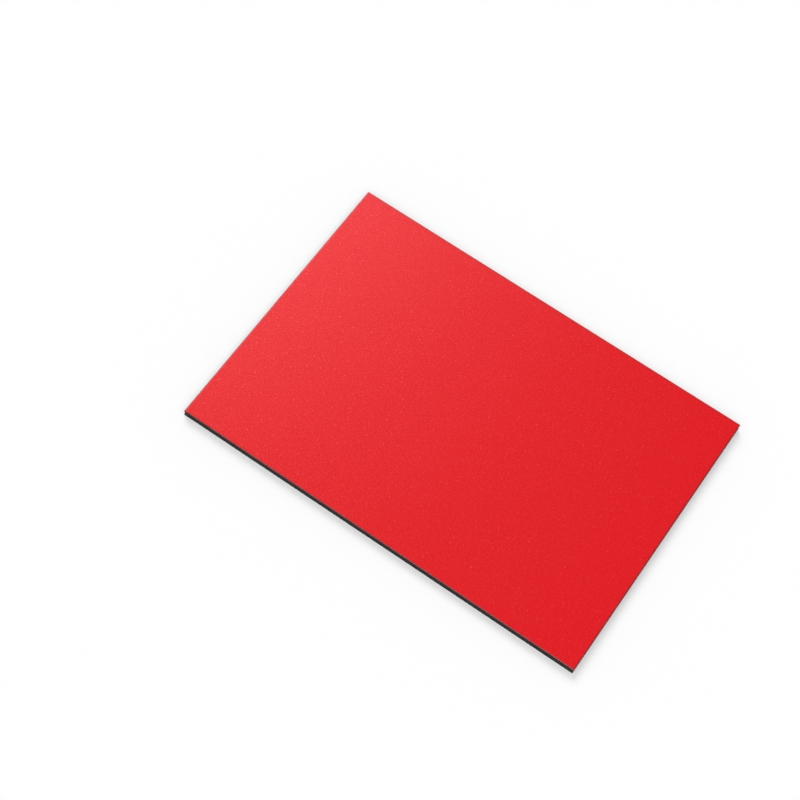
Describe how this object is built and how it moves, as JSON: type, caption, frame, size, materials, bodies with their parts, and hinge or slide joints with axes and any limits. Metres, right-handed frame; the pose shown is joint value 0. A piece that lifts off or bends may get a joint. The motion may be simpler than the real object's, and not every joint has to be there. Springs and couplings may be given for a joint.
{
  "type": "aluminium composite panel",
  "caption": "Flat rectangular composite panel with a red metallic coated aluminium face, a dark plastic core and a plain aluminium back, cut square with a thin sheared lip.",
  "frame": {"origin": "centre of the underside of the back skin", "axes": "+X along the long side, +Y along the short side, +Z out of the coated face"},
  "size_m": [0.2, 0.14, 0.004],
  "materials": {
    "coated_face": "satin",
    "polyethylene_core": "matte",
    "wash_coated_back": "satin"
  },
  "bodies": {
    "root": {"face_skin": "coated_face", "core": "polyethylene_core", "back_skin": "wash_coated_back"}
  },
  "joints": []
}
